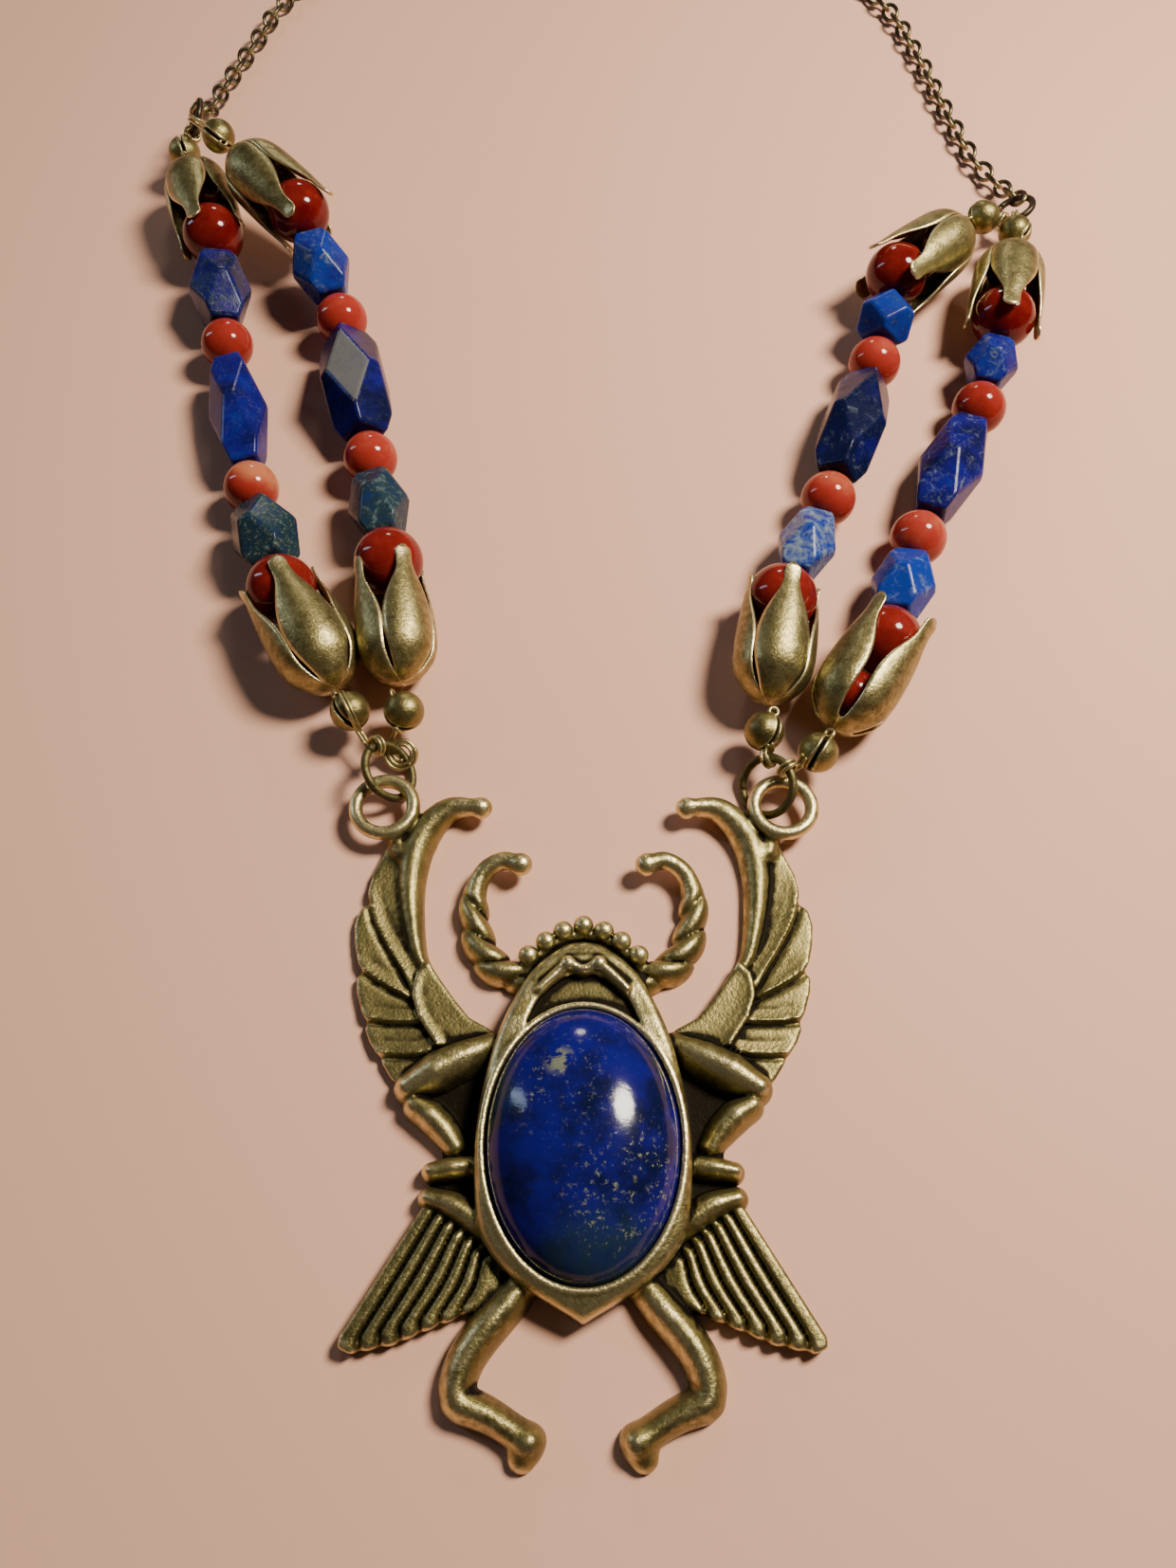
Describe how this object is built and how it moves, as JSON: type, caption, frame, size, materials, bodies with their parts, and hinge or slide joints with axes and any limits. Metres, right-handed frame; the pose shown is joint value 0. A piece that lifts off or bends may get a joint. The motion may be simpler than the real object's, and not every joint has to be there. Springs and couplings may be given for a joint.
{
  "type": "scarab amulet necklace",
  "caption": "Cast winged scarab amulet with an oval lapis stone, hung from paired strands of lapis and carnelian beads in lotus caps and worn on a fine cable chain.",
  "frame": {"origin": "on the flat back of the scarab setting, under the middle of its oval stone", "axes": "+Y from the scarab's tail past its head to the clasp, +X to the right as seen from the front, +Z out of the face of the stone; the necklace lies on its back on the plane z = 0"},
  "size_m": [0.121, 0.2394, 0.0141],
  "materials": {
    "antique_brass": "antiqued satin brass, dark olive-brown in the recesses and golden where it is rubbed",
    "chain_bronze": "darkened bronze wire with bright rubbed crests",
    "lapis_lazuli": "polished opaque ultramarine stone with pale pyrite flecks",
    "carnelian": "polished deep red to orange stone, faintly translucent"
  },
  "bodies": {
    "root": {"scarab_setting": "antique_brass", "lapis_cabochon": "lapis_lazuli", "left_jump_ring": "antique_brass", "right_jump_ring": "antique_brass", "left_chain": "chain_bronze", "right_chain": "chain_bronze", "clasp": "chain_bronze", "left_outer_lower_knot_cover": "antique_brass", "left_outer_lower_lotus_cap": "antique_brass", "left_outer_lower_cap_carnelian": "carnelian", "left_outer_lower_large_carnelian": "carnelian", "left_outer_lower_small_carnelian": "carnelian", "left_outer_lower_small_lapis": "lapis_lazuli", "left_outer_long_lapis": "lapis_lazuli", "left_outer_upper_knot_cover": "antique_brass", "left_outer_upper_lotus_cap": "antique_brass", "left_outer_upper_cap_carnelian": "carnelian", "left_outer_upper_large_carnelian": "carnelian", "left_outer_upper_small_carnelian": "carnelian", "left_outer_upper_small_lapis": "lapis_lazuli", "left_inner_lower_knot_cover": "antique_brass", "left_inner_lower_lotus_cap": "antique_brass", "left_inner_lower_cap_carnelian": "carnelian", "left_inner_lower_large_carnelian": "carnelian", "left_inner_lower_small_carnelian": "carnelian", "left_inner_lower_small_lapis": "lapis_lazuli", "left_inner_long_lapis": "lapis_lazuli", "left_inner_upper_knot_cover": "antique_brass", "left_inner_upper_lotus_cap": "antique_brass", "left_inner_upper_cap_carnelian": "carnelian", "left_inner_upper_large_carnelian": "carnelian", "left_inner_upper_small_carnelian": "carnelian", "left_inner_upper_small_lapis": "lapis_lazuli", "right_inner_lower_knot_cover": "antique_brass", "right_inner_lower_lotus_cap": "antique_brass", "right_inner_lower_cap_carnelian": "carnelian", "right_inner_lower_large_carnelian": "carnelian", "right_inner_lower_small_carnelian": "carnelian", "right_inner_lower_small_lapis": "lapis_lazuli", "right_inner_long_lapis": "lapis_lazuli", "right_inner_upper_knot_cover": "antique_brass", "right_inner_upper_lotus_cap": "antique_brass", "right_inner_upper_cap_carnelian": "carnelian", "right_inner_upper_large_carnelian": "carnelian", "right_inner_upper_small_carnelian": "carnelian", "right_inner_upper_small_lapis": "lapis_lazuli", "right_outer_lower_knot_cover": "antique_brass", "right_outer_lower_lotus_cap": "antique_brass", "right_outer_lower_cap_carnelian": "carnelian", "right_outer_lower_large_carnelian": "carnelian", "right_outer_lower_small_carnelian": "carnelian", "right_outer_lower_small_lapis": "lapis_lazuli", "right_outer_long_lapis": "lapis_lazuli", "right_outer_upper_knot_cover": "antique_brass", "right_outer_upper_lotus_cap": "antique_brass", "right_outer_upper_cap_carnelian": "carnelian", "right_outer_upper_large_carnelian": "carnelian", "right_outer_upper_small_carnelian": "carnelian", "right_outer_upper_small_lapis": "lapis_lazuli"}
  },
  "joints": []
}
